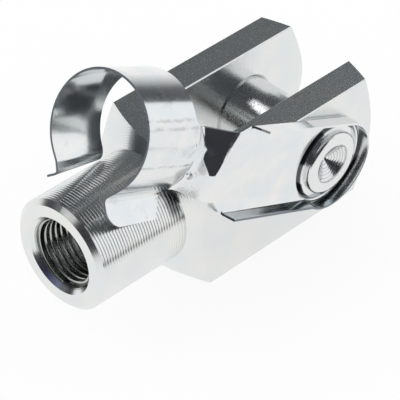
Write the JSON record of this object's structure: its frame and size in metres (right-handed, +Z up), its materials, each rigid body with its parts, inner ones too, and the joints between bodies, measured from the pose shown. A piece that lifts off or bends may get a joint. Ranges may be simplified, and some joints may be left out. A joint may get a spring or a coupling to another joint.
{
  "type": "clevis rod end",
  "caption": "Steel fork end with a threaded neck, a riveted cross pin and a sheet-metal clip that swings with the pin and snaps over the neck.",
  "frame": {"origin": "on the pin's axis, midway between the fork's two ears", "axes": "+Y along the pin, away from the clip's side; -X along the threaded neck; +X out of the fork's mouth; +Z up, with the fork lying on its flat side"},
  "size_m": [0.0844, 0.0369, 0.0546],
  "materials": {
    "turned_steel": "milled and turned",
    "pin_steel": "turned and riveted",
    "plated_sheet": "zinc plated, bright"
  },
  "bodies": {
    "fork_body": {"fork": "turned_steel"},
    "clip_body": {"pin": "pin_steel", "clip": "plated_sheet"}
  },
  "joints": [
    {"name": "clip_swing", "type": "hinge", "parent": "fork_body", "child": "clip_body", "pos_m": [0, 0, 0], "axis": [0, 1, 0], "range_deg": [0, 294]}
  ]
}
